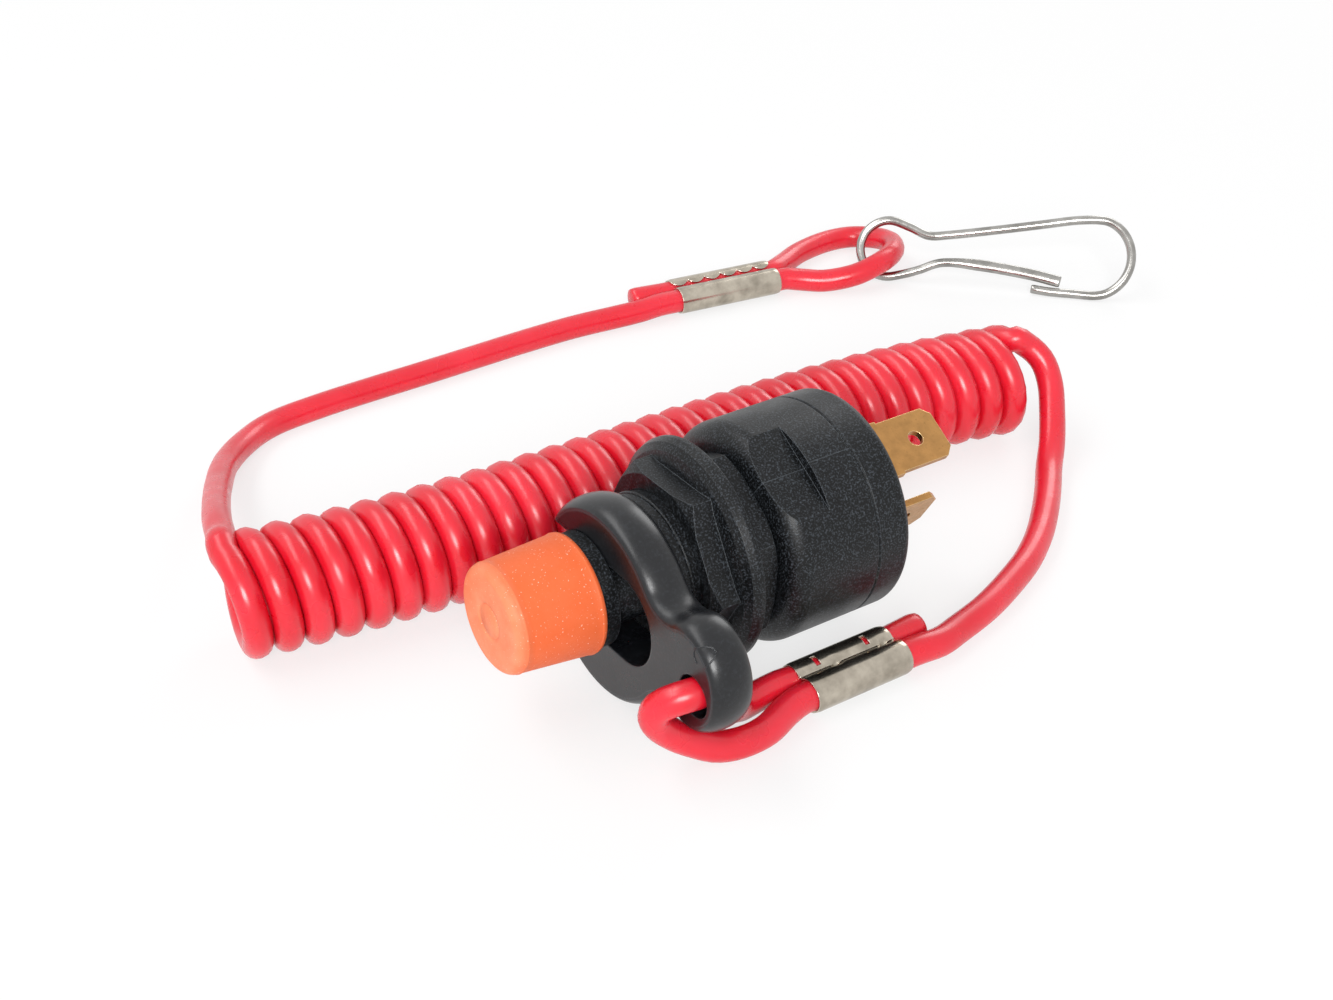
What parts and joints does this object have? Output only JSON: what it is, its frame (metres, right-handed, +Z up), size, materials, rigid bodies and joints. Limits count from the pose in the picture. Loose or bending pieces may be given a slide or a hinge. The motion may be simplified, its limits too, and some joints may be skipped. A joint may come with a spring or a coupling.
{
  "type": "engine kill switch with lanyard",
  "caption": "Push-button engine stop switch in a round moulded body with blade terminals, held at run by a C-shaped clip on a coiled safety cord with a snap hook.",
  "frame": {"origin": "bottom centre of the box of the switch and its clip, on the floor", "axes": "+X along the switch's axis towards the blade terminals, +Y towards the mouth of the clip's slot and the coiled cord, +Z up from the floor"},
  "size_m": [0.1499, 0.0999, 0.025],
  "materials": {
    "cap_rubber": "matte orange",
    "black_nylon": "moulded, fine grain",
    "clip_nylon": "smooth moulded",
    "seal_rubber": "matte",
    "spring_steel": "drawn wire",
    "terminal_brass": "stamped",
    "contact_silver": "silver-plated",
    "cord_urethane": "semi-gloss",
    "ferrule_nickel": "nickel-plated, crimped",
    "hook_nickel": "bright nickel"
  },
  "bodies": {
    "switch": {"return_spring": "spring_steel", "front_housing": "black_nylon", "flange_nut": "black_nylon", "lock_nut": "black_nylon", "rear_cover": "black_nylon", "terminal_upper": "terminal_brass", "terminal_lower": "terminal_brass", "fixed_contacts": "contact_silver", "cord_right_tail": "cord_urethane", "cord_coil": "cord_urethane", "cord_left_tail": "cord_urethane", "hook_ferrule": "ferrule_nickel", "hook_cord_loop": "cord_urethane", "snap_hook": "hook_nickel"},
    "button": {"button_cap": "cap_rubber", "plunger": "black_nylon", "stem_seal": "seal_rubber", "contact_spring": "spring_steel", "contact_bridge": "terminal_brass", "retaining_ring": "spring_steel"},
    "clip": {"lanyard_clip": "clip_nylon", "clip_cord_loop": "cord_urethane", "clip_ferrule": "ferrule_nickel"}
  },
  "joints": [
    {"name": "button_pull", "type": "slide", "parent": "switch", "child": "button", "axis": [-1, 0, 0], "range_m": [0, 0.0012], "stiffness_N_per_m": 600, "springref_m": -0.006, "deforming": ["return_spring"]},
    {"name": "clip_pull", "type": "slide", "parent": "switch", "child": "clip", "axis": [0, -1, 0], "range_m": [-0.002, 0.018], "deforming": ["cord_right_tail"]}
  ]
}
